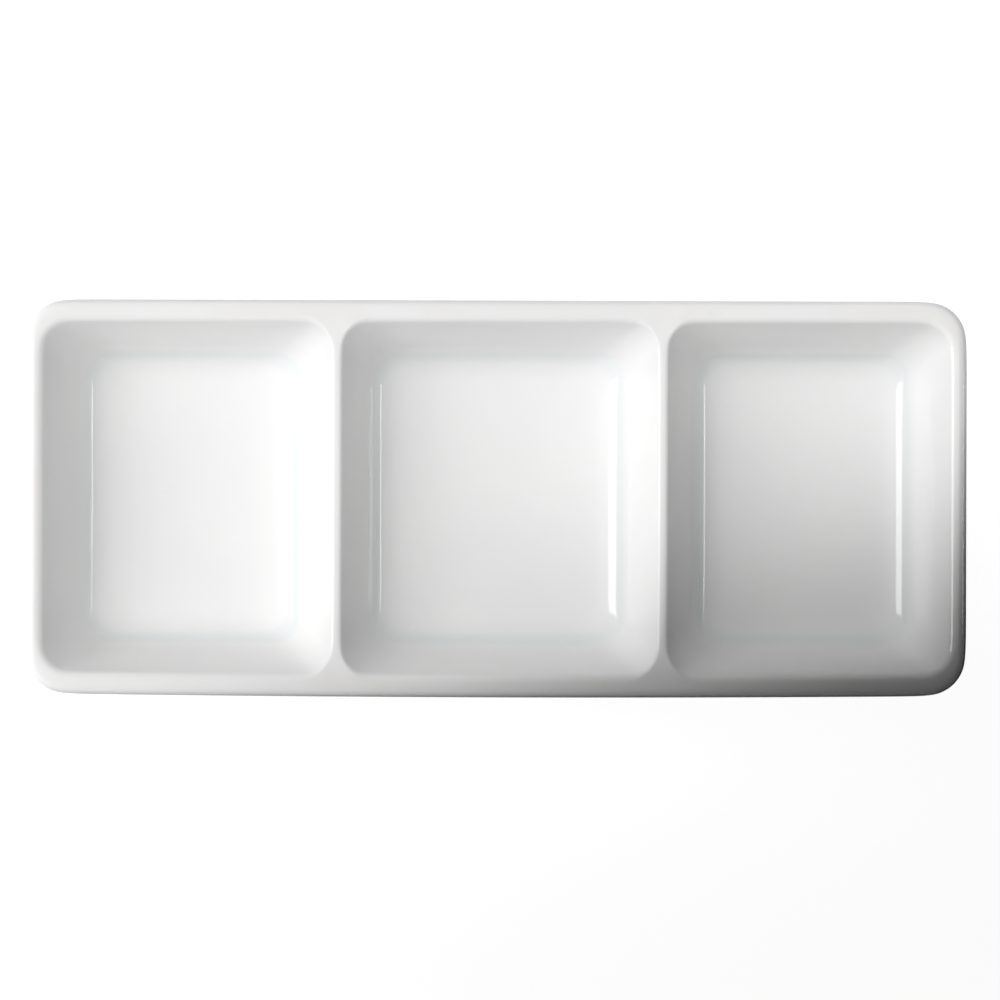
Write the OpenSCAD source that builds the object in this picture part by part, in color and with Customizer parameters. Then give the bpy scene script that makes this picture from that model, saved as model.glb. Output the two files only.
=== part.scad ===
// Divided serving bowl in glazed porcelain: three rectangular wells in a row under one rim.
// The fired body is one piece of porcelain. It is drawn as the parts that a potter names:
// the rim, the three wells, the two dividers between them and a foot ring under each well.
// X runs along the tray, Y across it and Z up. The origin is on the table, under the middle.

/* [Tray] */
// Overall length along X, in millimetres
tray_length = 300; // [280:5:380]
// Overall width along Y
tray_width = 126; // [110:2:170]
// Height of the rim above the table
tray_height = 33.5; // [30:0.5:42]
// Radius of the four outer corners, seen from above
tray_corner_r = 12.5; // [9:0.5:16]
// Thickness of the floors, and of the walls where they turn into the floors
wall_t = 5; // [4:0.25:6]

/* [Rim] */
// Radius that rounds the rim's outer edge
rim_edge_r = 2.6; // [1.8:0.1:3.4]
// Radius that rounds the lip into the wells
rim_lip_r = 3.2; // [2.2:0.1:4.2]
// Width of the level top along the long sides
rim_side_flat_w = 2; // [0.5:0.25:4]
// Width of the level top along the short ends
rim_end_flat_w = 0.3; // [0.1:0.1:2]

/* [Dividers] */
// Distance from the middle of the tray to the middle of each divider
divider_x = 52; // [47:0.5:58]
// Drop from the rim to the crest of the dividers
divider_drop = 1; // [0.5:0.25:4]
// Slope of the divider faces, in degrees from the table
divider_slope = 64; // [58:1:72]
// Radius that rounds both edges of the crest
divider_crest_r = 1.6; // [1:0.1:2.2]
// Width of the level strip along the top of the crest
divider_flat_w = 0.8; // [0.4:0.1:2]
// Width of the groove between two wells where a divider closes it from above
groove_w = 3; // [1:0.25:5]

/* [Wells] */
// Slope of the short-end walls, in degrees from the table
end_slope = 60; // [56:1:68]
// Slope of the long-side walls, in degrees from the table
side_slope = 67; // [60:1:74]
// Radius of the wells' upright corners
well_corner_r = 9; // [7:0.5:11]
// Radius of the turn from the walls into the floor
floor_r = 12; // [8:0.5:16]
// Radius of the corners of the level floor
toe_corner_r = 7; // [4:0.25:8]

/* [Foot rings] */
// Height of the foot rings, from the table to the underside of the wells
foot_height = 2.5; // [1.5:0.25:4]
// Width of the face that a foot ring stands on
foot_w = 4; // [3:0.25:6]
// Distance from the edge of the level underside in to the foot ring
foot_inset = 1; // [0.5:0.25:3]

/* [Hidden] */
$fn = 64;
glaze_white = "white";
bare_white = "antiquewhite";

// Flat steps in each corner seen from above, and in each rounded edge seen in section
corner_steps = 8;
edge_steps = 6;

half_length = tray_length / 2;
half_width = tray_width / 2;
floor_z = foot_height + wall_t;
depth = tray_height - floor_z;
crest_z = tray_height - divider_drop;
edge_z = tray_height - rim_edge_r;
outer_floor_r = floor_r + wall_t;
steepest = max(end_slope, side_slope, divider_slope);

// Sideways run of a surface that leaves the level with radius r and goes on straight at a
// slope, once it is h above or below where it started
function run(h, r, slope) =
    h < r * (1 - cos(slope))
        ? sqrt(max(0, h * (2 * r - h)))
        : r * sin(slope) + (h - r * (1 - cos(slope))) / tan(slope);

// Sideways run of a whole inner wall, from the edge of the level top to the level floor
function wall_run(rise, top_r, slope) =
    (top_r + floor_r) * sin(slope)
    + (rise - (top_r + floor_r) * (1 - cos(slope))) / tan(slope);

// The level floors end at these toes: at the short ends, along the long sides, and at this
// distance from the middle of a divider
end_toe_x = half_length - rim_edge_r - rim_end_flat_w - wall_run(depth, rim_lip_r, end_slope);
side_toe_y = half_width - rim_edge_r - rim_side_flat_w - wall_run(depth, rim_lip_r, side_slope);
divider_toe = divider_flat_w / 2 + wall_run(depth - divider_drop, divider_crest_r, divider_slope);

// Slope of a straight outer wall that touches both the rim's rounded edge and the rounded
// turn of the base, whose centres are reach apart along the table
function outer_slope(reach) =
    let (rise = edge_z - floor_z - floor_r)
        90 + atan2(rise, reach) - acos((outer_floor_r - rim_edge_r) / norm([reach, rise]));

end_outer_slope = outer_slope(half_length - rim_edge_r - end_toe_x);
side_outer_slope = outer_slope(half_width - rim_edge_r - side_toe_y);
steepest_outside = max(end_outer_slope, side_outer_slope, divider_slope);

// The wells end and the rim and dividers begin at this level, where the outsides of two
// neighbouring wells have come within groove_w of each other
joint_z = foot_height + outer_floor_r * (1 - cos(divider_slope))
    + (divider_toe - groove_w / 2 - outer_floor_r * sin(divider_slope)) * tan(divider_slope);

// How far the rim's outer face stands out from the centre of its rounded edge at level z
function edge_out(z, slope) =
    let (up = z - edge_z, touch = -rim_edge_r * cos(slope))
        up > touch
            ? sqrt(max(0, rim_edge_r * rim_edge_r - up * up))
            : rim_edge_r * sin(slope) + (up - touch) / tan(slope);

// Even turns from one angle to another
function turns(first, last) =
    [for (i = [0 : edge_steps]) first + (last - first) * i / edge_steps];

// Levels on an arc of radius r that leaves the level at z and bends down, or bends up, by
// each of the angles
function levels_down(z, r, angles) = [for (a = angles) z - r * (1 - cos(a))];
function levels_up(z, r, angles) = [for (a = angles) z + r * (1 - cos(a))];

// Level rounded rectangle from x0 to x1 and from -y to y, as points anticlockwise from above
function ring(x0, x1, y, r, z) = [
    for (c = [[x1 - r, y - r, 0], [x0 + r, y - r, 90], [x0 + r, r - y, 180], [x1 - r, r - y, 270]])
        for (i = [0 : corner_steps])
            let (a = c[2] + 90 * i / corner_steps)
                [c[0] + r * cos(a), c[1] + r * sin(a), z]
];

// Solid through a list of rings of equal length. A closed one joins the last ring to the
// first. An open one has a cap at each end, made of strips between opposite points.
module loft(rings, closed) {
    n = len(rings[0]);
    m = len(rings);
    walls = [
        for (j = [0 : m - (closed ? 1 : 2)])
            for (i = [0 : n - 1])
                let (
                    k = (i + 1) % n,
                    low = j * n,
                    high = (j + 1) % m * n
                )
                    each [[low + i, high + k, low + k], [low + i, high + i, high + k]]
    ];
    caps = [
        for (i = [0 : n / 2 - 2])
            let (strip = [i, i + 1, n - 2 - i, n - 1 - i])
                each [strip, [for (k = [3 : -1 : 0]) (m - 1) * n + strip[k]]]
    ];
    polyhedron([for (one = rings) each one], closed ? walls : concat(walls, caps));
}

// Inner face of the rim at level z
function rim_inner_ring(z) =
    let (
        end_run = run(tray_height - z, rim_lip_r, end_slope),
        x = half_length - rim_edge_r - rim_end_flat_w - end_run,
        y = side_face_y(z),
        r = well_corner_r + max(0, rim_lip_r * sin(end_slope) - end_run)
    )
        ring(-x, x, y, r, z);

// Long-side wall's inner face at level z, from the lip down to where the floor's turn begins
function side_face_y(z) =
    half_width - rim_edge_r - rim_side_flat_w - run(tray_height - z, rim_lip_r, side_slope);

// Outer face of the rim at level z
function rim_outer_ring(z) =
    let (
        out = edge_out(z, end_outer_slope),
        x = half_length - rim_edge_r + out,
        y = half_width - rim_edge_r + edge_out(z, side_outer_slope),
        r = z > edge_z ? tray_corner_r - rim_edge_r + out : tray_corner_r
    )
        ring(-x, x, y, r, z);

module rim() {
    overhang = 180 - min(end_outer_slope, side_outer_slope);
    under = levels_down(tray_height, rim_edge_r, turns(overhang, 90));
    over = levels_down(tray_height, rim_edge_r, turns(90 - 90 / edge_steps, 0));
    lip = levels_down(tray_height, rim_lip_r, turns(0, steepest));
    color(glaze_white)
        loft(
            [
                for (z = concat([joint_z], under, over)) rim_outer_ring(z),
                for (z = concat(lip, [joint_z])) rim_inner_ring(z)
            ],
            closed = true
        );
}

// Corner radius that grows from the toe to full_r while the turn of radius turn_r rises
function turn_corner_r(h, turn_r, full_r) =
    toe_corner_r + (full_r - toe_corner_r)
        * min(1, run(h, turn_r, end_slope) / (turn_r * sin(end_slope)));

// Face of a well at level z, outwards from its toes at x0 and x1. The slopes are those of
// the walls at x0, at x1 and along the sides.
function well_ring(z, base_z, turn_r, full_r, x0, x1, slopes) =
    let (h = z - base_z)
        ring(
            x0 - run(h, turn_r, slopes[0]),
            x1 + run(h, turn_r, slopes[1]),
            side_toe_y + run(h, turn_r, slopes[2]),
            turn_corner_r(h, turn_r, full_r),
            z
        );

// One well, between level floors that end at x0 and x1. ends says which of its two faces
// there is an end of the tray. The others are divider faces.
module well(x0, x1, ends) {
    inside = [for (end = ends) end ? end_slope : divider_slope];
    outside = [for (end = ends) end ? end_outer_slope : divider_slope];
    turn_up = levels_up(foot_height, outer_floor_r, turns(0, steepest_outside));
    turn_down = levels_up(floor_z, floor_r, turns(steepest, 0));
    color(glaze_white)
        loft(
            [
                for (z = concat(turn_up, [joint_z]))
                    well_ring(
                        z, foot_height, outer_floor_r, tray_corner_r,
                        x0, x1, concat(outside, side_outer_slope)
                    ),
                for (z = concat([joint_z], turn_down))
                    well_ring(
                        z, floor_z, floor_r, well_corner_r,
                        x0, x1, concat(inside, side_slope)
                    )
            ],
            closed = false
        );
}

module left_well() {
    well(-end_toe_x, -divider_x - divider_toe, ends = [true, false]);
}

module middle_well() {
    well(divider_toe - divider_x, divider_x - divider_toe, ends = [false, false]);
}

module right_well() {
    well(divider_x + divider_toe, end_toe_x, ends = [false, true]);
}

// Half the thickness of a divider at level z
function divider_half_w(z) =
    divider_flat_w / 2 + run(crest_z - z, divider_crest_r, divider_slope);

// Section of a divider around x. It stands off from the long-side wall by off, and flare
// widens it where it curves into that wall. side is -1 at the front and 1 at the back.
function divider_section(x, off, flare, side) =
    let (crest = levels_down(crest_z, divider_crest_r, turns(0, divider_slope)))
    let (levels = concat(crest, [joint_z]))
    [
        for (z = levels)
            [x + divider_half_w(z) + flare, side * (side_face_y(z) - off), z],
        for (i = [len(levels) - 1 : -1 : 0])
            let (z = levels[i])
                [x - divider_half_w(z) - flare, side * (side_face_y(z) - off), z]
    ];

// One divider: a ridge with a rounded crest whose ends flare into the long-side walls
module divider(x) {
    stations = [
        for (i = [0 : corner_steps])
            let (a = 90 * i / corner_steps)
                [well_corner_r * (1 - cos(a)), well_corner_r * (1 - sin(a))]
    ];
    color(glaze_white)
        loft(
            [
                for (s = stations) divider_section(x, s[0], s[1], -1),
                for (i = [corner_steps : -1 : 0])
                    divider_section(x, stations[i][0], stations[i][1], 1)
            ],
            closed = false
        );
}

module left_divider() {
    divider(-divider_x);
}

module right_divider() {
    divider(divider_x);
}

// Rounded rectangle with true arcs, from x0 to x1 and from -y to y
module rounded_rectangle(x0, x1, y, r) {
    translate([x0 + r, -y])
        square([x1 - x0 - 2 * r, 2 * y]);
    translate([x0, r - y])
        square([x1 - x0, 2 * (y - r)]);
    for (x = [x0 + r, x1 - r])
        for (side = [-1, 1])
            translate([x, side * (y - r)])
                circle(r);
}

// One foot ring, left unglazed, under the level floor from x0 to x1
module foot_ring(x0, x1) {
    outer_x0 = x0 + foot_inset;
    outer_x1 = x1 - foot_inset;
    outer_y = side_toe_y - foot_inset;
    color(bare_white)
        linear_extrude(foot_height)
            difference() {
                rounded_rectangle(outer_x0, outer_x1, outer_y, toe_corner_r + foot_w);
                rounded_rectangle(
                    outer_x0 + foot_w, outer_x1 - foot_w, outer_y - foot_w, toe_corner_r
                );
            }
}

module left_foot_ring() {
    foot_ring(-end_toe_x, -divider_x - divider_toe);
}

module middle_foot_ring() {
    foot_ring(divider_toe - divider_x, divider_x - divider_toe);
}

module right_foot_ring() {
    foot_ring(divider_x + divider_toe, end_toe_x);
}

rim();
left_divider();
right_divider();
left_well();
middle_well();
right_well();
left_foot_ring();
middle_foot_ring();
right_foot_ring();
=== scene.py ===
"""Divided serving dish in white glazed porcelain, with three basins in a row.

The glazed body is modelled as one seamless skin, because the real one is a single piece of
fired porcelain. The bare foot rings under it are pieces of their own. Lengths are in metres.
"""

from collections import namedtuple
import math

import bmesh
import bpy
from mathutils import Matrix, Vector


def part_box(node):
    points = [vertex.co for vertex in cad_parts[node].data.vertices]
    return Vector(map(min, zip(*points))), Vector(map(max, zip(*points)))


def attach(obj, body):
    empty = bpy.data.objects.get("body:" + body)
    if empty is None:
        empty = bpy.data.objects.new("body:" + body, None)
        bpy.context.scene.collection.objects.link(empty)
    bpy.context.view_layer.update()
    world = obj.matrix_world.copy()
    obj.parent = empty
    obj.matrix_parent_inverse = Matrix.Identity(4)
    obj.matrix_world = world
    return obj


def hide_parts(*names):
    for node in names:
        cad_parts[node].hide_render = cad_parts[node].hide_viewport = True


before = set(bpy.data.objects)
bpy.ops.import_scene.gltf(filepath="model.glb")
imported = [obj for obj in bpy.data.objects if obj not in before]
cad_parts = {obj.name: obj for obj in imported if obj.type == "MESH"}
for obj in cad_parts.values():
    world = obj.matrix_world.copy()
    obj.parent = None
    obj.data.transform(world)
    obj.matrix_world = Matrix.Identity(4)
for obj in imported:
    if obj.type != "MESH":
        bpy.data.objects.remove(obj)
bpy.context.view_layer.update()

MM = 0.001

# Places that the frame gives
HALF_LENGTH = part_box("rim")[1].x
HALF_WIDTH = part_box("rim")[1].y
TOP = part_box("rim")[1].z
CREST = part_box("right_divider")[1].z
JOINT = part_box("rim")[0].z
FOOT_LOW, FOOT_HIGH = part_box("right_foot_ring")
UNDERSIDE = FOOT_HIGH.z
DIVIDER_X = (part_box("right_divider")[0].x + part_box("right_divider")[1].x) / 2

# Rounded edges, level strips, wall and slopes of the porcelain
EDGE_R = 2.6 * MM
LIP_R = 3.2 * MM
CREST_R = 1.6 * MM
FLOOR_R = 12 * MM
WALL = 5 * MM
BASE_R = FLOOR_R + WALL
SIDE_FLAT = 2 * MM
END_FLAT = 0.3 * MM
CREST_FLAT = 0.8 * MM
END_SLOPE = math.radians(60)
SIDE_SLOPE = math.radians(67)
DIVIDER_SLOPE = math.radians(64)

# Corner radii, seen from above
TRAY_CORNER = 12.5 * MM
WELL_CORNER = 9 * MM
TOE_CORNER = 7 * MM

# The level floors end at these toes
FLOOR = UNDERSIDE + WALL
FOOT_W = 4 * MM
FOOT_CORNER = 11 * MM
FOOT_INSET = 1 * MM
END_TOE = FOOT_HIGH.x + FOOT_INSET
SIDE_TOE = FOOT_HIGH.y + FOOT_INSET
DIVIDER_TOE = FOOT_LOW.x - FOOT_INSET - DIVIDER_X

# How finely the skin is cut before it is smoothed
CORNER_CUTS = 4
SIDE_CUTS = 7
ARC_STEPS = 4
SPAN = SIDE_CUTS + 1 + CORNER_CUTS
SMOOTH_LEVELS = 2
NEAR = 0.01 * MM


# Sections of the porcelain


def run(height, radius, slope):
    """Sideways run of a surface that leaves the level with a radius and goes on at a slope."""
    if height <= 0:
        return 0.0
    bend = radius * (1 - math.cos(slope))
    if height < bend:
        return math.sqrt(height * (2 * radius - height))
    return radius * math.sin(slope) + (height - bend) / math.tan(slope)


def outer_slope(reach):
    """Slope of an outer wall that touches both the rim's edge and the turn of the base."""
    rise = TOP - EDGE_R - UNDERSIDE - BASE_R
    lean = math.acos((BASE_R - EDGE_R) / math.hypot(reach, rise))
    return math.pi / 2 + math.atan2(rise, reach) - lean


END_OUTER_SLOPE = outer_slope(HALF_LENGTH - EDGE_R - END_TOE)
SIDE_OUTER_SLOPE = outer_slope(HALF_WIDTH - EDGE_R - SIDE_TOE)


def arc_turns(first, last, steps):
    """Even turns from one angle to another, the last one left out."""
    return [first + (last - first) * step / steps for step in range(steps)]


def face(z, edge, lip_r, toe, slope):
    """Place of a basin's wall at level z, from the lip's edge down to the toe."""
    if z > JOINT:
        return edge - run(TOP - z, lip_r, slope)
    return toe + run(z - FLOOR, FLOOR_R, slope)


def end_face(z):
    return face(z, HALF_LENGTH - EDGE_R - END_FLAT, LIP_R, END_TOE, END_SLOPE)


def side_face(z):
    return face(z, HALF_WIDTH - EDGE_R - SIDE_FLAT, LIP_R, SIDE_TOE, SIDE_SLOPE)


def lip_turn(z):
    """Share of the lip's whole turn that is done at level z."""
    return math.acos(max(-1, 1 - (TOP - z) / LIP_R)) / SIDE_SLOPE


def divider_half(z):
    """Half a divider's thickness at level z. Its crest turns in step with the rim's lip."""
    if z > JOINT and lip_turn(z) < 1:
        return CREST_FLAT / 2 + CREST_R * math.sin(DIVIDER_SLOPE * lip_turn(z))
    if z > JOINT:
        return CREST_FLAT / 2 + run(CREST - z, CREST_R, DIVIDER_SLOPE)
    return DIVIDER_TOE - run(z - FLOOR, FLOOR_R, DIVIDER_SLOPE)


def crest_level(z):
    """Level on a divider's crest that goes with level z on the rim's lip."""
    return CREST - CREST_R * (1 - math.cos(DIVIDER_SLOPE * lip_turn(z)))


def edge_out(z, slope):
    """How far the outer face stands out from the centre of the rim's rounded edge."""
    up = z - (TOP - EDGE_R)
    touch = -EDGE_R * math.cos(slope)
    if up > touch:
        return math.sqrt(max(0, EDGE_R**2 - up**2))
    return EDGE_R * math.sin(slope) + (up - touch) / math.tan(slope)


# Level outlines: rounded rectangles from x0 to x1 and from -y to y


class Outline(namedtuple("Outline", "x0 x1 y corner z")):
    @property
    def middle(self):
        return (self.x0 + self.x1) / 2

    @property
    def length(self):
        return self.x1 - self.x0


def cell_outline(side, end_x, half, y, corner, z):
    """Outline in one cell of the dish, where side is -1, 0 or 1 for left, middle or right."""
    x0 = -end_x if side < 0 else DIVIDER_X * (side or -1) + half
    x1 = end_x if side > 0 else DIVIDER_X * (side or 1) - half
    return Outline(x0, x1, y, corner, z)


def turn_corner(height, turn_r, full_r):
    """Corner radius that grows from the toe's to the full one while the floor turns up."""
    share = run(height, turn_r, END_SLOPE) / (turn_r * math.sin(END_SLOPE))
    return TOE_CORNER + (full_r - TOE_CORNER) * min(1, share)


def basin_outline(side, z):
    """Inside of a basin at level z."""
    if z > JOINT:
        corner = WELL_CORNER + max(0, LIP_R * math.sin(END_SLOPE) - run(TOP - z, LIP_R, END_SLOPE))
    else:
        corner = turn_corner(z - FLOOR, FLOOR_R, WELL_CORNER)
    return cell_outline(side, end_face(z), divider_half(z), side_face(z), corner, z)


def base_outline(side, z):
    """Outside of the underside's hull below one basin at level z."""
    up = z - UNDERSIDE
    return cell_outline(
        side,
        END_TOE + run(up, BASE_R, END_OUTER_SLOPE),
        DIVIDER_TOE - run(up, BASE_R, DIVIDER_SLOPE),
        SIDE_TOE + run(up, BASE_R, SIDE_OUTER_SLOPE),
        turn_corner(up, BASE_R, TRAY_CORNER),
        z,
    )


def shrunk(outline, inset):
    """An outline drawn in on all sides, with the same corners."""
    return Outline(
        outline.x0 + inset, outline.x1 - inset, outline.y - inset, outline.corner, outline.z
    )


def tray_outline(z):
    """Outer face of the whole dish at level z."""
    out = edge_out(z, END_OUTER_SLOPE)
    x = HALF_LENGTH - EDGE_R + out
    y = HALF_WIDTH - EDGE_R + edge_out(z, SIDE_OUTER_SLOPE)
    return Outline(-x, x, y, TRAY_CORNER - EDGE_R + min(EDGE_R, max(out, 0)), z)


# Working in edit mode


def deselect():
    bpy.ops.object.select_all(action="DESELECT")


def open_mesh(piece):
    mesh = bmesh.from_edit_mesh(piece.data)
    mesh.verts.index_update()
    mesh.verts.ensure_lookup_table()
    return mesh


def chosen(piece):
    """Indices of the selected points."""
    return [point.index for point in open_mesh(piece).verts if point.select]


def choose(piece, indices):
    """Select just these points, and the edges and faces between them."""
    bpy.ops.mesh.select_all(action="DESELECT")
    mesh = open_mesh(piece)
    for index in indices:
        mesh.verts[index].select = True
    mesh.select_flush_mode()
    bmesh.update_edit_mesh(piece.data)


def choose_where(piece, test):
    """Select just the points whose place passes a test."""
    choose(piece, [point.index for point in open_mesh(piece).verts if test(point.co)])


def choose_boundary(piece, low, high):
    """Select the open edge loop that lies between two levels."""
    bpy.ops.mesh.select_all(action="DESELECT")
    mesh = open_mesh(piece)
    ring = {
        point.index
        for edge in mesh.edges
        if edge.is_boundary
        for point in edge.verts
        if low < point.co.z < high
    }
    choose(piece, ring)


def new_loop(outline):
    """Add a level loop with rounded corners, in the open piece or as a new one."""
    centre = (outline.middle, 0, outline.z)
    bpy.ops.mesh.primitive_plane_add(size=1, location=centre)
    bpy.ops.transform.resize(value=(outline.length, 2 * outline.y, 1), center_override=centre)
    if bpy.context.mode == "OBJECT":
        bpy.ops.object.transform_apply()
        bpy.ops.object.mode_set(mode="EDIT")
        bpy.ops.mesh.select_mode(type="VERT")
    piece = bpy.context.object
    bpy.ops.mesh.bevel(affect="VERTICES", offset=outline.corner, segments=CORNER_CUTS)
    bpy.ops.mesh.delete(type="ONLY_FACE")
    bpy.ops.mesh.select_mode(type="EDGE")
    for edge in open_mesh(piece).edges:
        edge.select_set(edge.is_wire and edge.calc_length() > outline.corner)
    bmesh.update_edit_mesh(piece.data)
    bpy.ops.mesh.subdivide(number_cuts=SIDE_CUTS)
    bpy.ops.mesh.select_mode(type="VERT")
    choose(piece, [point.index for point in open_mesh(piece).verts if not point.link_faces])
    return piece


def corner_points(piece, ring, x, y, reach):
    """Points of a ring on the corner arc at x and y, with their offsets as shares of it."""
    mesh = open_mesh(piece)
    found = {}
    for index in ring:
        place = mesh.verts[index].co
        aside, along = abs(place.x - x) / reach[0], abs(place.y - y) / reach[1]
        if aside < 1 + NEAR and along < 1 + NEAR:
            found[index] = (aside, along)
    return found


def square_corner(piece, arc, x, y):
    """Flatten a corner's arc onto the two straight sides that meet there."""
    for axis, value in ((0, (0, 1, 1)), (1, (1, 0, 1))):
        choose(piece, [i for i, share in arc.items() if share[axis] <= share[1 - axis] + NEAR])
        bpy.ops.transform.resize(value=value, center_override=(x, y, 0))


def grow(piece, old, new, square_at=()):
    """Extrude the selected loop from one outline to the next and set its corner arcs."""
    shift = (new.middle - old.middle, 0, new.z - old.z)
    bpy.ops.mesh.extrude_edges_move(TRANSFORM_OT_translate={"value": shift})
    ring = chosen(piece)
    stretch = (new.length / old.length, new.y / old.y, 1)
    bpy.ops.transform.resize(value=stretch, center_override=(new.middle, 0, new.z))
    reach = (old.corner * stretch[0], old.corner * stretch[1])
    for x in (new.x0, new.x1):
        for y in (-new.y, new.y):
            arc = corner_points(piece, ring, x, y, reach)
            if x in square_at:
                square_corner(piece, arc, x, y)
                continue
            choose(piece, arc)
            scale = (new.corner / reach[0], new.corner / reach[1], 1)
            bpy.ops.transform.resize(value=scale, center_override=(x, y, new.z))
    choose(piece, ring)
    return new


def sheet(outlines, border):
    """One cell's sheet of skin, from the middle of its floor outwards to its border."""
    floor = old = outlines[0]
    piece = new_loop(floor)
    for new in outlines[1:]:
        old = grow(piece, old, new)
    square_at = [x for x in (border.x0, border.x1) if abs(abs(x) - DIVIDER_X) < NEAR]
    grow(piece, old, border, square_at)
    fill_floor(piece, floor)
    return piece


def fill_floor(piece, outline):
    """Fill the loop at an outline with a grid whose corners are the middles of its arcs."""
    def on_loop(place):
        inside = outline.x0 - NEAR < place.x < outline.x1 + NEAR and abs(place.y) < outline.y + NEAR
        return inside and abs(place.z - outline.z) < NEAR

    choose_where(piece, on_loop)
    mesh = open_mesh(piece)
    loop = [point for point in mesh.verts if point.select]
    mesh.select_history.clear()
    mesh.select_history.add(max(loop, key=lambda point: point.co.x + point.co.y))
    bpy.ops.mesh.fill_grid(span=SPAN)


def smooth_share(share):
    """Ease a share between 0 and 1."""
    share = min(1, max(0, share))
    return share * share * (3 - 2 * share)


def weighted_shift(piece, name, axis, distance, share):
    """Move a piece's points along an axis, each by its own share of a distance."""
    group = piece.vertex_groups.new(name=name)
    for point in piece.data.vertices:
        group.add([point.index], share(point.co), "REPLACE")
    shift = piece.modifiers.new(name, "DISPLACE")
    shift.direction = axis
    shift.mid_level = 0
    shift.strength = distance
    shift.vertex_group = name
    bpy.ops.object.modifier_apply(modifier=name)
    piece.vertex_groups.remove(piece.vertex_groups[name])


# The glazed body

LIP_LEVELS = [TOP - LIP_R * (1 - math.cos(turn)) for turn in arc_turns(0, SIDE_SLOPE, ARC_STEPS)]
LIP_END = TOP - LIP_R * (1 - math.cos(SIDE_SLOPE))
TURN_LEVELS = [
    FLOOR + FLOOR_R * (1 - math.cos(turn)) for turn in arc_turns(0, SIDE_SLOPE, ARC_STEPS)
]
TURN_END = FLOOR + FLOOR_R * (1 - math.cos(SIDE_SLOPE))
WALL_SHARES = (0, 0.12, 0.45, 0.8, 1)
BASE_STEPS = 5
BASE_LEVELS = [
    UNDERSIDE + BASE_R * (1 - math.cos(turn)) for turn in arc_turns(0, DIVIDER_SLOPE, BASE_STEPS)
]
BASE_END = UNDERSIDE + BASE_R * (1 - math.cos(DIVIDER_SLOPE))
BASE_WALL_SHARES = (0, 0.25, 0.65, 1)
FLOOR_INSET = 6 * MM

# The groove's roof, and the turns of the rim's rounded edge
ROOF = JOINT + 2 * MM
EDGE_TURNS = [math.radians(turn) for turn in (30, 60, 90, 118)]

# Where a crest begins to rise into the long-side rims, and how far that takes
CREST_END = 47 * MM
CREST_FADE = 9 * MM

# The real dish is a little uneven: the dividers stand further right, and the front bows out
ROW_SHIFT = 1 * MM
ROW_END = 130 * MM
FRONT_BOW = 0.9 * MM
BOW_BEGINS = 0.6


def between(low, high, shares):
    """Levels at given shares of the way from one to another."""
    return [low + (high - low) * share for share in shares]


def crest_share(place):
    """Share of the crest's drop that a point takes, which fades into the long-side rims."""
    if place.z <= LIP_END + NEAR:
        return 0
    aside = max(0, abs(abs(place.x) - DIVIDER_X) - CREST_FLAT - CREST_R)
    along = max(0, abs(place.y) - CREST_END)
    drop = (place.z - crest_level(place.z)) / (TOP - CREST)
    return drop * smooth_share(1 - math.hypot(aside, along) / CREST_FADE)


def sheets(outline_at, levels, border_z):
    """Three cells' sheets, each from its level floor through its outlines to its border."""
    edge = tray_outline(border_z)
    for side in (0, 1, -1):
        outlines = [outline_at(side, z) for z in levels]
        outlines.insert(0, shrunk(outlines[0], FLOOR_INSET))
        border = cell_outline(side, edge.x1, 0, edge.y, edge.corner, border_z)
        piece = sheet(outlines, border)
    return piece


def top_sheets():
    """Basins, dividers and the level top of the rim."""
    levels = TURN_LEVELS + between(TURN_END, LIP_END, WALL_SHARES) + LIP_LEVELS[::-1]
    return sheets(basin_outline, levels, TOP)


def under_sheets():
    """Undersides of the basins, with a groove between each two."""
    levels = BASE_LEVELS + between(BASE_END, JOINT, BASE_WALL_SHARES)
    return sheets(base_outline, levels, ROOF)


def row_share(place):
    """Share of the sideways shift that the upper parts near the dividers take."""
    along = smooth_share((ROW_END - abs(place.x)) / (ROW_END - DIVIDER_X))
    return along * smooth_share((place.z - FLOOR) / FLOOR_R)


def bow_share(place):
    """Share of the front side's outward bow, which is largest half way along."""
    along = 1 - (place.x / HALF_LENGTH) ** 2
    return along * smooth_share((-place.y / HALF_WIDTH - BOW_BEGINS) / (1 - BOW_BEGINS))


def glazed_body():
    """The whole dish but its foot rings, as one smooth closed skin."""
    deselect()
    piece = top_sheets()
    piece.name = "glazed_body"
    bpy.ops.mesh.select_all(action="SELECT")
    bpy.ops.mesh.remove_doubles(threshold=NEAR)
    choose_boundary(piece, TOP - NEAR, TOP + NEAR)
    old = tray_outline(TOP)
    levels = [TOP - EDGE_R * (1 - math.cos(turn)) for turn in EDGE_TURNS]
    skirt_z = (levels[-1] + ROOF) / 2
    for z in levels + [skirt_z]:
        old = grow(piece, old, tray_outline(z))
    under_sheets()
    bpy.ops.mesh.select_all(action="SELECT")
    bpy.ops.mesh.remove_doubles(threshold=NEAR)
    choose_boundary(piece, UNDERSIDE, TOP)
    bpy.ops.mesh.bridge_edge_loops()
    bpy.ops.mesh.select_all(action="SELECT")
    bpy.ops.mesh.normals_make_consistent(inside=False)
    bpy.ops.object.mode_set(mode="OBJECT")
    weighted_shift(piece, "crest_drop", "Z", CREST - TOP, crest_share)
    weighted_shift(piece, "row_shift", "X", ROW_SHIFT, row_share)
    weighted_shift(piece, "front_bow", "Y", -FRONT_BOW, bow_share)
    finish_smooth(piece)
    return piece


def finish_smooth(piece):
    """Smooth a cage into its round form and apply it."""
    smooth = piece.modifiers.new("smooth", "SUBSURF")
    smooth.levels = SMOOTH_LEVELS
    smooth.render_levels = SMOOTH_LEVELS
    bpy.ops.object.modifier_apply(modifier="smooth")
    bpy.ops.object.shade_smooth()


# Bare foot rings

FOOT_CUTS = 8
FOOT_EASE = 0.5 * MM
FOOT_EASE_STEPS = 3
FOOT_SHARP_FROM = math.radians(60)
FOOT_SMOOTH_TO = math.radians(40)


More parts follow.
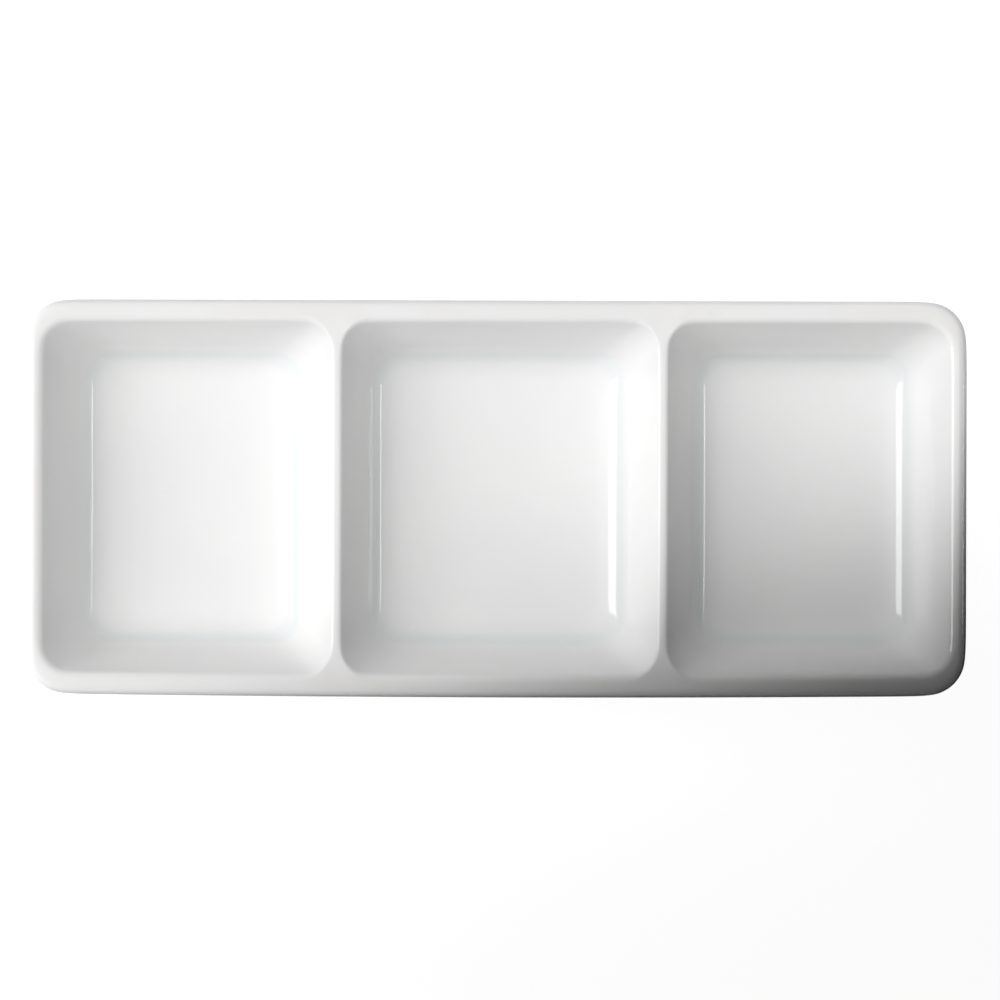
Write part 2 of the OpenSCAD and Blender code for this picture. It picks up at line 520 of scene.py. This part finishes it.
def foot_ring(name, node):
    """A low ring of bare porcelain with eased lower edges."""
    low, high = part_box(node)
    deselect()
    outline = Outline(low.x, high.x, high.y, FOOT_CORNER, low.z)
    centre = (outline.middle, 0, outline.z)
    bpy.ops.mesh.primitive_plane_add(size=1, location=centre)
    bpy.ops.transform.resize(value=(outline.length, 2 * outline.y, 1), center_override=centre)
    bpy.ops.object.transform_apply()
    piece = bpy.context.object
    piece.name = name
    bpy.ops.object.mode_set(mode="EDIT")
    bpy.ops.mesh.select_mode(type="VERT")
    bpy.ops.mesh.bevel(affect="VERTICES", offset=outline.corner, segments=FOOT_CUTS)
    bpy.ops.mesh.select_mode(type="FACE")
    bpy.ops.mesh.select_all(action="SELECT")
    bpy.ops.mesh.inset(thickness=FOOT_W)
    bpy.ops.mesh.delete(type="FACE")
    bpy.ops.mesh.select_all(action="SELECT")
    bpy.ops.mesh.extrude_region_move(TRANSFORM_OT_translate={"value": (0, 0, high.z - low.z)})
    bpy.ops.mesh.select_all(action="SELECT")
    bpy.ops.mesh.normals_make_consistent(inside=False)
    bpy.ops.mesh.select_mode(type="EDGE")
    bpy.ops.mesh.select_all(action="DESELECT")
    mesh = open_mesh(piece)
    for edge in mesh.edges:
        level = all(abs(point.co.z - low.z) < NEAR for point in edge.verts)
        if level and edge.calc_face_angle() > FOOT_SHARP_FROM:
            edge.select_set(True)
    bmesh.update_edit_mesh(piece.data)
    bpy.ops.mesh.bevel(affect="EDGES", offset=FOOT_EASE, segments=FOOT_EASE_STEPS)
    bpy.ops.object.mode_set(mode="OBJECT")
    bpy.ops.object.shade_smooth_by_angle(angle=FOOT_SMOOTH_TO)
    return piece


# Materials

COLOUR_INPUTS = (6, 7)
COLOUR_OUTPUT = 2
GLAZE_WHITE = (0.885, 0.886, 0.88, 1)
GLAZE_SHADE = (0.865, 0.868, 0.864, 1)
GLAZE_SPECK = (0.8, 0.79, 0.77, 1)
# Painted shade, a little darker and cooler, for the foot of the basins' walls
FOOT_PAINTED_SHADE = (0.83, 0.85, 0.852, 1)
GLAZE_THIN = (0.865, 0.852, 0.83, 1)
BISCUIT = (0.8, 0.765, 0.7, 1)
BISCUIT_SHADE = (0.745, 0.7, 0.63, 1)
BISCUIT_SPECK = (0.42, 0.36, 0.3, 1)
BISCUIT_SCUFF = (0.5, 0.49, 0.47, 1)
GLAZE_LINE_TINT = (0.71, 0.6, 0.47, 1)

# Where painted shade darkens the walls' foot, as shares of the floor turn's radius above the floor
FOOT_SHADE_BEGINS = (0.08, 0.25)
FOOT_SHADE_ENDS = (0.55, 0.3)

# How far the thin glaze reaches down from the rim's top, and how deep the two reliefs are
THIN_GLAZE = 0.35 * MM
GLAZE_WAVE = 0.12 * MM
BISCUIT_GRAIN = 0.06 * MM

# Heights above the table between which scuffs, the tint and the glaze itself come up
SCUFFED = (0.25 * MM, 0.02 * MM)
LINE_WAVER = 0.9 * MM
LINE_TINTED = (0.75 * MM, 1.05 * MM)
LINE_GLAZED = (1.0 * MM, 1.12 * MM)

# Parts of a noise's range in which clouds, haze, thin glaze and scuffs come up
CLOUDED = (0.35, 0.65)
HAZED = (0.3, 0.75)
THIN_BROKEN = (0.4, 0.7)
RUBBED = (0.5, 0.72)

GLAZE_ROUGHNESS = (0.045, 0.085)
BISCUIT_ROUGHNESS = 0.85
LINE_ROUGHNESS = 0.07


def linked(tree, socket, value):
    """Give a socket a value, or a link from another node's output."""
    if isinstance(value, bpy.types.NodeSocket):
        tree.links.new(value, socket)
    else:
        socket.default_value = value


def add_node(tree, kind, settings=None, **inputs):
    """Add a shader node. An input's name has an underscore for each space."""
    made = tree.nodes.new("ShaderNode" + kind)
    for name, value in (settings or {}).items():
        setattr(made, name, value)
    for name, value in inputs.items():
        linked(tree, made.inputs[name.replace("_", " ")], value)
    return made


def result_of(tree, operation, first, second=0.0, third=0.0):
    """What a sum of up to three values gives."""
    made = add_node(tree, "Math", {"operation": operation})
    for socket, value in zip(made.inputs, (first, second, third)):
        linked(tree, socket, value)
    return made.outputs[0]


def share_between(tree, value, start, end):
    """Smooth share that is 0 at the start and 1 at the end of a range."""
    made = add_node(
        tree,
        "MapRange",
        {"interpolation_type": "SMOOTHSTEP"},
        Value=value,
        From_Min=start,
        From_Max=end,
    )
    return made.outputs["Result"]


def level_between(tree, share, first, second, start=0.0, end=1.0):
    """Value that goes from one to another while a share goes from its start to its end."""
    made = add_node(
        tree, "MapRange", Value=share, From_Min=start, From_Max=end, To_Min=first, To_Max=second
    )
    return made.outputs["Result"]


def blend_of(tree, share, first, second):
    """Colour between two others."""
    made = add_node(tree, "Mix", {"data_type": "RGBA"}, Factor=share)
    for place, value in zip(COLOUR_INPUTS, (first, second)):
        linked(tree, made.inputs[place], value)
    return made.outputs[COLOUR_OUTPUT]


def new_group(name, inputs, outputs):
    """An empty group of shader nodes with named inputs and outputs."""
    tree = bpy.data.node_groups.new(name, "ShaderNodeTree")
    for way, sockets in (("INPUT", inputs), ("OUTPUT", outputs)):
        for socket_name, kind in sockets:
            tree.interface.new_socket(name=socket_name, in_out=way, socket_type="NodeSocket" + kind)
    return tree, tree.nodes.new("NodeGroupInput").outputs, tree.nodes.new("NodeGroupOutput").inputs


def fired_tone():
    """Colour of fired porcelain, clouded in wide patches and with a few tiny iron specks."""
    inputs = [("Clean", "Color"), ("Shade", "Color"), ("Speck", "Color")]
    inputs += [("Patch Scale", "Float"), ("Speck Scale", "Float"), ("Speck Size", "Float")]
    tree, given, made = new_group("fired_tone", inputs, [("Color", "Color")])
    place = add_node(tree, "TexCoord").outputs["Object"]
    patches = add_node(tree, "TexNoise", Vector=place, Scale=given["Patch Scale"], Detail=3.0)
    clouds = share_between(tree, patches.outputs["Fac"], *CLOUDED)
    cells = add_node(tree, "TexVoronoi", Vector=place, Scale=given["Speck Scale"])
    near = result_of(tree, "LESS_THAN", cells.outputs["Distance"], given["Speck Size"])
    toned = blend_of(tree, clouds, given["Clean"], given["Shade"])
    tree.links.new(blend_of(tree, near, toned, given["Speck"]), made["Color"])
    return tree


def fired_relief():
    """Height of a fired surface: slow waves with a fine grain on them."""
    inputs = [("Wave Scale", "Float"), ("Grain Scale", "Float"), ("Grain Share", "Float")]
    tree, given, made = new_group("fired_relief", inputs, [("Height", "Float")])
    place = add_node(tree, "TexCoord").outputs["Object"]
    waves = add_node(tree, "TexNoise", Vector=place, Scale=given["Wave Scale"], Detail=1.0)
    grain = add_node(tree, "TexNoise", Vector=place, Scale=given["Grain Scale"], Detail=2.0)
    fine = result_of(tree, "MULTIPLY", grain.outputs["Fac"], given["Grain Share"])
    tree.links.new(result_of(tree, "ADD", waves.outputs["Fac"], fine), made["Height"])
    return tree


def grouped(tree, group, **inputs):
    """Place a group in a material with its own values."""
    made = add_node(tree, "Group", {"node_tree": group})
    for name, value in inputs.items():
        linked(tree, made.inputs[name.replace("_", " ")], value)
    return made.outputs[0]


def new_material(name):
    """A new material, with its nodes and its shader."""
    material = bpy.data.materials.new(name)
    material.use_nodes = True
    return material, material.node_tree, material.node_tree.nodes["Principled BSDF"]


def level_of(tree):
    """Place on the object, and height above the table, as values for the nodes."""
    place = add_node(tree, "TexCoord").outputs["Object"]
    return place, add_node(tree, "SeparateXYZ", Vector=place).outputs["Z"]


def white_glaze(tone, relief):
    """Thick clear gloss glaze over white porcelain."""
    material, tree, shader = new_material("white_glaze")
    place, level = level_of(tree)
    colour = grouped(
        tree,
        tone,
        Clean=GLAZE_WHITE,
        Shade=GLAZE_SHADE,
        Speck=GLAZE_SPECK,
        Patch_Scale=22.0,
        Speck_Scale=95.0,
        Speck_Size=0.022,
    )
    # Painted shade darkens where the walls turn into the floor, and the glaze runs thin along the
    # rim
    below = share_between(tree, level, *[FLOOR + share * FLOOR_R for share in FOOT_SHADE_ENDS])
    above = share_between(tree, level, *[FLOOR + share * FLOOR_R for share in FOOT_SHADE_BEGINS])
    colour = blend_of(tree, result_of(tree, "MULTIPLY", below, above), colour, FOOT_PAINTED_SHADE)
    thin = share_between(tree, level, TOP - THIN_GLAZE, TOP)
    broken = add_node(tree, "TexNoise", Vector=place, Scale=60.0, Detail=3.0).outputs["Fac"]
    thin = result_of(tree, "MULTIPLY", thin, share_between(tree, broken, *THIN_BROKEN))
    colour = blend_of(tree, thin, colour, GLAZE_THIN)
    tree.links.new(colour, shader.inputs["Base Color"])
    haze = add_node(tree, "TexNoise", Vector=place, Scale=35.0, Detail=4.0).outputs["Fac"]
    rough = level_between(tree, haze, *GLAZE_ROUGHNESS, *HAZED)
    tree.links.new(rough, shader.inputs["Roughness"])
    height = grouped(tree, relief, Wave_Scale=55.0, Grain_Scale=650.0, Grain_Share=0.02)
    bump = add_node(tree, "Bump", Height=height, Strength=1.0, Distance=GLAZE_WAVE)
    tree.links.new(bump.outputs["Normal"], shader.inputs["Normal"])
    return material


def bare_biscuit(tone, relief):
    """Unglazed porcelain, ground flat below, with the glaze's wavy end round its top."""
    material, tree, shader = new_material("bare_biscuit")
    place, level = level_of(tree)
    colour = grouped(
        tree,
        tone,
        Clean=BISCUIT,
        Shade=BISCUIT_SHADE,
        Speck=BISCUIT_SPECK,
        Patch_Scale=70.0,
        Speck_Scale=260.0,
        Speck_Size=0.06,
    )
    rub = add_node(tree, "TexNoise", Vector=place, Scale=110.0, Detail=5.0).outputs["Fac"]
    ground_face = share_between(tree, level, *SCUFFED)
    scuffs = result_of(tree, "MULTIPLY", ground_face, share_between(tree, rub, *RUBBED))
    colour = blend_of(tree, scuffs, colour, BISCUIT_SCUFF)
    waver = add_node(tree, "TexNoise", Vector=place, Scale=140.0, Detail=2.0).outputs["Fac"]
    line = result_of(tree, "MULTIPLY_ADD", waver, -LINE_WAVER, level)
    tint = share_between(tree, line, *LINE_TINTED)
    glazed = share_between(tree, line, *LINE_GLAZED)
    colour = blend_of(tree, tint, colour, GLAZE_LINE_TINT)
    colour = blend_of(tree, glazed, colour, GLAZE_WHITE)
    tree.links.new(colour, shader.inputs["Base Color"])
    rough = level_between(tree, glazed, BISCUIT_ROUGHNESS, LINE_ROUGHNESS)
    tree.links.new(rough, shader.inputs["Roughness"])
    height = grouped(tree, relief, Wave_Scale=120.0, Grain_Scale=2600.0, Grain_Share=0.7)
    matte = result_of(tree, "SUBTRACT", 1.0, glazed)
    height = result_of(tree, "MULTIPLY", height, matte)
    bump = add_node(tree, "Bump", Height=height, Strength=1.0, Distance=BISCUIT_GRAIN)
    tree.links.new(bump.outputs["Normal"], shader.inputs["Normal"])
    return material


# Stage and light

FLOOR_SIZE = 4.0
FLOOR_SEEN = 0.95
FLOOR_TONE = (0.3, 0.3, 0.3, 1)
FLOOR_BOUNCE = (0.75, 0.75, 0.75, 1)
FLOOR_ROUGHNESS = 0.9
WHITE = (1, 1, 1, 1)
CARD_BLACK = (0.02, 0.02, 0.02, 1)

# The line out to the front right, and the line square to it that the level cards lie along
FRONT_RIGHT = Vector((0.33, -0.945, 0)).normalized()
ALONG_CARD = Vector((-FRONT_RIGHT.y, FRONT_RIGHT.x, 0))

# Near edge, far edge, width, shift to the left and height of the level cards
SHADE_CARD = (0.05, 0.3, 0.36, 0.02, 0.085)
MIRROR_NEAR = 0.04
MIRROR_FAR = 0.6
MIRRORED_CARD = (MIRROR_NEAR, MIRROR_FAR, FLOOR_SIZE, 0, 0.5 * MM)

# How far the mirrored card takes to darken and to fade again, and how dark it gets
MIRROR_FADE_IN = 0.06
MIRROR_FADE_OUT = 0.35
MIRROR_DARK = 0.15

# The card that stands at the right
FLAG_X = 0.19
FLAG_FRONT = -0.3
FLAG_BACK = 0.02
FLAG_HEIGHT = 0.12

# Place, width, height and power of the strips that give the streaks beside the floors
STRIPS_AIM_AT = (0, 0, 0.02)
LEFT_STRIP = ((-0.87, 0, 0.5), (0.26, 0.42), 1.7)
RIGHT_STRIP = ((0.8, 0, 0.33), (0.12, 0.06), 0.17)

# Soft light from all round: the side it comes from, its level and how narrow it is
SKY = (
    ((-0.5, 0, 1), 1.88, 5),
    ((-1, 0, 1), 0.82, 4),
    ((0, -1, 1), 0.38, 4),
    ((0, 1, 1), 0.17, 4),
    ((1, 0, 1), 0.28, 4),
)


def seen_directly(tree):
    """1 where a ray comes from the camera, a mirror or glass, and 0 for light on a surface."""
    path = add_node(tree, "LightPath").outputs
    mirrored = result_of(tree, "MAXIMUM", path["Is Glossy Ray"], path["Is Transmission Ray"])
    return result_of(tree, "MAXIMUM", path["Is Camera Ray"], mirrored)


def pale_floor():
    """A floor that looks white, keeps a faint shadow and sends up plain soft light."""
    deselect()
    bpy.ops.mesh.primitive_plane_add(size=FLOOR_SIZE)
    ground = bpy.context.object
    ground.name = "pale_floor"
    material, tree, shader = new_material("pale_floor")
    seen = seen_directly(tree)
    tree.links.new(blend_of(tree, seen, FLOOR_BOUNCE, FLOOR_TONE), shader.inputs["Base Color"])
    shader.inputs["Roughness"].default_value = FLOOR_ROUGHNESS
    shader.inputs["Specular IOR Level"].default_value = 0
    shader.inputs["Emission Color"].default_value = WHITE
    glow = level_between(tree, seen, 0.0, FLOOR_SEEN)
    tree.links.new(glow, shader.inputs["Emission Strength"])
    ground.data.materials.append(material)


def finish_card(name):
    """Make the plane just added a black card that the camera doesn't see."""
    bpy.ops.object.transform_apply()
    card = bpy.context.object
    card.name = name
    material, _, shader = new_material(name)
    shader.inputs["Base Color"].default_value = CARD_BLACK
    shader.inputs["Specular IOR Level"].default_value = 0
    card.data.materials.append(material)
    card.visible_camera = False
    return card


def level_card(name, near, far, width, aside, z):
    """A level card, square to the line out to the front right."""
    deselect()
    middle = FRONT_RIGHT * (near + far) / 2 - ALONG_CARD * aside
    turn = math.atan2(FRONT_RIGHT.x, -FRONT_RIGHT.y)
    bpy.ops.mesh.primitive_plane_add(size=1)
    bpy.ops.transform.resize(value=(width, far - near, 1))
    bpy.ops.transform.rotate(value=-turn, orient_axis="Z")
    bpy.ops.transform.translate(value=(middle.x, middle.y, z))
    return finish_card(name)


def shade_card():
    """It holds light back from the front right."""
    card = level_card("shade_card", *SHADE_CARD)
    card.visible_glossy = False


def mirrored_card():
    """It is only mirrored, in the rim's lower right edge, and both its edges are soft."""
    card = level_card("mirrored_card", *MIRRORED_CARD)
    card.visible_diffuse = False
    card.visible_shadow = False
    tree = card.data.materials[0].node_tree
    shader = tree.nodes["Principled BSDF"]
    place = add_node(tree, "TexCoord").outputs["Object"]
    away = add_node(tree, "VectorMath", {"operation": "DOT_PRODUCT"})
    linked(tree, away.inputs[0], place)
    linked(tree, away.inputs[1], FRONT_RIGHT)
    away = away.outputs["Value"]
    darker = share_between(tree, away, MIRROR_NEAR, MIRROR_NEAR + MIRROR_FADE_IN)
    whiter = share_between(tree, away, MIRROR_FAR - MIRROR_FADE_OUT, MIRROR_FAR)
    dark = result_of(tree, "MULTIPLY", darker, result_of(tree, "SUBTRACT", 1.0, whiter))
    shader.inputs["Emission Color"].default_value = WHITE
    tree.links.new(level_between(tree, dark, 1.0, MIRROR_DARK), shader.inputs["Emission Strength"])


def dark_flag():
    """It stands to the right of the dish and keeps side light off the front."""
    deselect()
    bpy.ops.mesh.primitive_plane_add(size=1, rotation=(0, math.pi / 2, 0))
    bpy.ops.object.transform_apply()
    bpy.ops.transform.resize(value=(1, FLAG_BACK - FLAG_FRONT, FLAG_HEIGHT))
    bpy.ops.transform.translate(value=(FLAG_X, (FLAG_BACK + FLAG_FRONT) / 2, FLAG_HEIGHT / 2))
    card = finish_card("dark_flag")
    card.visible_glossy = False


def surroundings():
    """Soft light that is brightest above and at the left, in front of a white background."""
    world = bpy.data.worlds.new("surroundings")
    world.use_nodes = True
    tree = world.node_tree
    place = add_node(tree, "TexCoord").outputs["Generated"]
    light = 0.0
    for direction, level, narrow in SKY:
        facing = add_node(tree, "VectorMath", {"operation": "DOT_PRODUCT"})
        linked(tree, facing.inputs[0], place)
        linked(tree, facing.inputs[1], Vector(direction).normalized())
        ahead = result_of(tree, "MAXIMUM", facing.outputs["Value"])
        lobe = result_of(tree, "POWER", ahead, narrow)
        light = result_of(tree, "MULTIPLY_ADD", lobe, level, light)
    strength = level_between(tree, seen_directly(tree), light, 1.0)
    tree.links.new(strength, tree.nodes["Background"].inputs["Strength"])
    tree.nodes["Background"].inputs["Color"].default_value = WHITE
    bpy.context.scene.world = world


def strip(name, place, size, watts):
    """A soft strip light."""
    data = bpy.data.lights.new(name, "AREA")
    data.shape = "RECTANGLE"
    data.size, data.size_y = size
    data.energy = watts
    made = bpy.data.objects.new(name, data)
    made.location = place
    aim = Vector(STRIPS_AIM_AT) - Vector(place)
    made.rotation_euler = aim.to_track_quat("-Z", "Y").to_euler()
    bpy.context.scene.collection.objects.link(made)


# Camera, straight above the dish

CAMERA_HEIGHT = 1.75
VIEW_WIDTH = 0.3185
SENSOR = 36
CAMERA_X = 1.1 * MM
CAMERA_Y = -0.8 * MM
ROLL = math.radians(0.17)


def camera():
    """A long lens that looks straight down."""
    data = bpy.data.cameras.new("camera")
    data.sensor_width = SENSOR
    data.lens = SENSOR * CAMERA_HEIGHT / VIEW_WIDTH
    eye = bpy.data.objects.new("camera", data)
    eye.location = (CAMERA_X, CAMERA_Y, TOP + CAMERA_HEIGHT)
    eye.rotation_euler = (0, 0, ROLL)
    bpy.context.scene.collection.objects.link(eye)
    bpy.context.scene.camera = eye


GLAZED_NODES = ("rim", "left_divider", "right_divider", "left_well", "middle_well", "right_well")

camera()
tone = fired_tone()
relief = fired_relief()
glaze = white_glaze(tone, relief)
biscuit = bare_biscuit(tone, relief)

body = glazed_body()
body.data.materials.append(glaze)
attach(body, "root")
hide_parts(*GLAZED_NODES)

for place in ("left", "middle", "right"):
    ring = foot_ring(place + "_base_ring", place + "_foot_ring")
    ring.data.materials.append(biscuit)
    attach(ring, "root")
    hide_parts(place + "_foot_ring")

pale_floor()
shade_card()
mirrored_card()
dark_flag()
surroundings()
strip("left_strip", *LEFT_STRIP)
strip("right_strip", *RIGHT_STRIP)
bpy.context.scene.view_settings.view_transform = "Standard"
